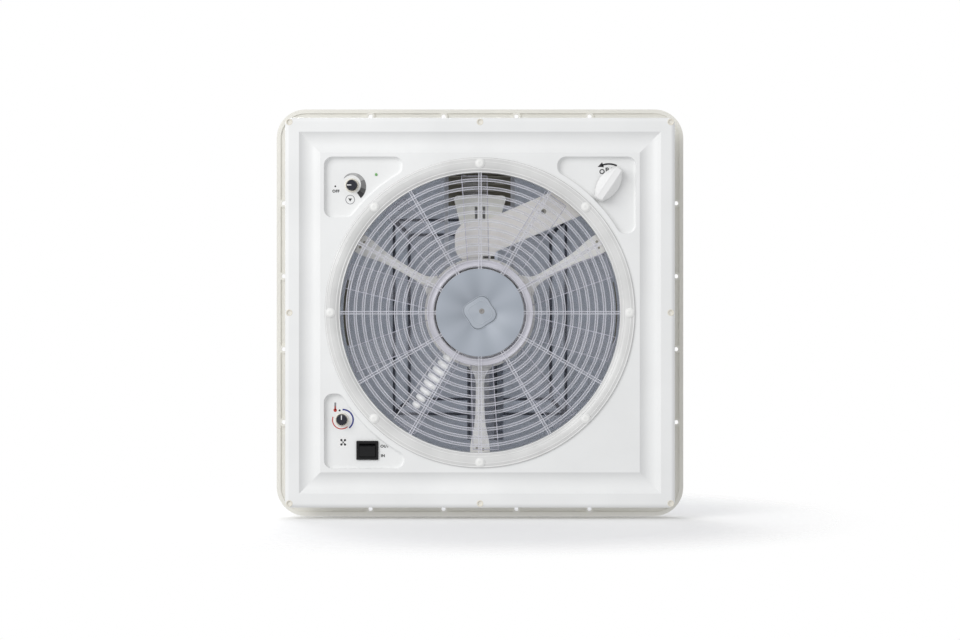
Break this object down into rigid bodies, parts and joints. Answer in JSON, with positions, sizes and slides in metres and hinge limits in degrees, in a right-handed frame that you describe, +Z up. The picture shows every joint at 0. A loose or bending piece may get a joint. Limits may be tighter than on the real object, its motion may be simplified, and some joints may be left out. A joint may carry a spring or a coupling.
{
  "type": "caravan roof vent",
  "caption": "Square roof vent with a ducted clear fan behind a round guard, crank-opened dome, flyscreen, speed and thermostat knobs, rocker switch and inner trim.",
  "frame": {"origin": "middle of the roof cut-out, level with the roof's outer face", "axes": "+Z up out of the roof, +X right and +Y down in the view from below"},
  "size_m": [0.466, 0.466, 0.1495],
  "materials": {
    "frame_white": "satin",
    "trim_white": "satin",
    "dome_shell": "satin",
    "seal_rubber": "matte",
    "rail_dark": "satin",
    "steel": "satin",
    "screen_edge": "matte",
    "screen_weave": "matte",
    "guard_clear": "clear",
    "fan_clear": "clear",
    "screw_white": "satin",
    "can_steel": "satin",
    "iron": "matte",
    "support_white": "satin",
    "housing_white": "satin",
    "handle_white": "satin",
    "gear_nylon": "satin",
    "wheel_bronze": "satin",
    "arm_white": "satin",
    "knob_black": "satin",
    "bezel_cream": "satin",
    "case_dark": "matte",
    "lamp_green": "clear",
    "board_green": "satin",
    "switch_black": "gloss",
    "terminal_grey": "matte"
  },
  "bodies": {
    "base": {"roof_frame": "frame_white", "hinge_pins": "steel", "flyscreen_frame": "screen_edge", "flyscreen_mesh": "screen_weave", "ceiling_frame": "trim_white", "grille": "guard_clear", "grille_screws": "screw_white", "motor_can": "can_steel", "motor_bearings": "steel", "motor_support": "support_white", "support_screws": "screw_white", "drive_housing": "housing_white", "drive_cover": "housing_white", "speed_control": "steel", "thermostat": "case_dark", "knob_bezels": "bezel_cream", "status_lamp": "lamp_green", "control_board": "board_green", "control_cover": "case_dark", "rocker_housing": "switch_black", "terminal_block": "terminal_grey"},
    "lid": {"dome": "dome_shell", "dome_seal": "seal_rubber", "dome_rail": "rail_dark"},
    "lift": {"lift_arm": "arm_white", "worm_wheel": "wheel_bronze", "arm_shaft": "steel"},
    "worm_drive": {"worm": "steel", "worm_bevel": "gear_nylon"},
    "cross_shaft": {"drive_shaft": "steel", "shaft_bevels": "gear_nylon"},
    "crank": {"crank_handle": "handle_white", "crank_spindle": "steel", "crank_bevel": "gear_nylon"},
    "fan": {"fan_rotor": "fan_clear", "fan_nut": "steel", "motor_shaft": "steel", "motor_armature": "iron"},
    "speed_dial": {"speed_knob": "knob_black", "speed_shaft": "steel"},
    "thermostat_dial": {"thermostat_knob": "knob_black", "thermostat_shaft": "steel"},
    "switch_rocker": {"rocker": "switch_black"}
  },
  "joints": [
    {"name": "lid_hinge", "type": "hinge", "parent": "base", "child": "lid", "pos_m": [0, -0.221, 0.016], "axis": [1, 0, 0], "range_deg": [0, 45]},
    {"name": "lift_arm_turn", "type": "hinge", "parent": "base", "child": "lift", "pos_m": [0, -0.1011, 0.036], "axis": [1, 0, 0], "range_deg": [0, 72]},
    {"name": "worm_turn", "type": "hinge", "parent": "base", "child": "worm_drive", "pos_m": [-0.008, -0.0796, 0.036], "axis": [0, 0, 1], "range_deg": [0, 1440]},
    {"name": "cross_shaft_turn", "type": "hinge", "parent": "base", "child": "cross_shaft", "pos_m": [-0.008, -0.0796, 0.0162], "axis": [0.9195, -0.393, 0], "range_deg": [0, 1440]},
    {"name": "crank_turn", "type": "hinge", "parent": "base", "child": "crank", "pos_m": [0.145, -0.145, -0.04], "axis": [0, 0, -1], "range_deg": [0, 1440]},
    {"name": "fan_spin", "type": "hinge", "parent": "base", "child": "fan", "pos_m": [0, 0, -0.02], "axis": [0, 0, 1], "continuous": true},
    {"name": "speed_knob_turn", "type": "hinge", "parent": "base", "child": "speed_dial", "pos_m": [-0.1446, -0.1438, -0.045], "axis": [0, 0, -1], "range_deg": [0, 270]},
    {"name": "thermostat_knob_turn", "type": "hinge", "parent": "base", "child": "thermostat_dial", "pos_m": [-0.156, 0.1208, -0.045], "axis": [0, 0, -1], "range_deg": [-140, 140]},
    {"name": "rocker_tilt", "type": "hinge", "parent": "base", "child": "switch_rocker", "pos_m": [-0.1272, 0.1554, -0.0355], "axis": [-1, 0, 0], "range_deg": [0, 16]}
  ],
  "couplings": [
    {"joint": "lift_arm_turn", "follows": "lid_hinge", "ratio": 1.6},
    {"joint": "worm_turn", "follows": "lid_hinge", "ratio": 32},
    {"joint": "cross_shaft_turn", "follows": "lid_hinge", "ratio": 32},
    {"joint": "crank_turn", "follows": "lid_hinge", "ratio": 32}
  ]
}
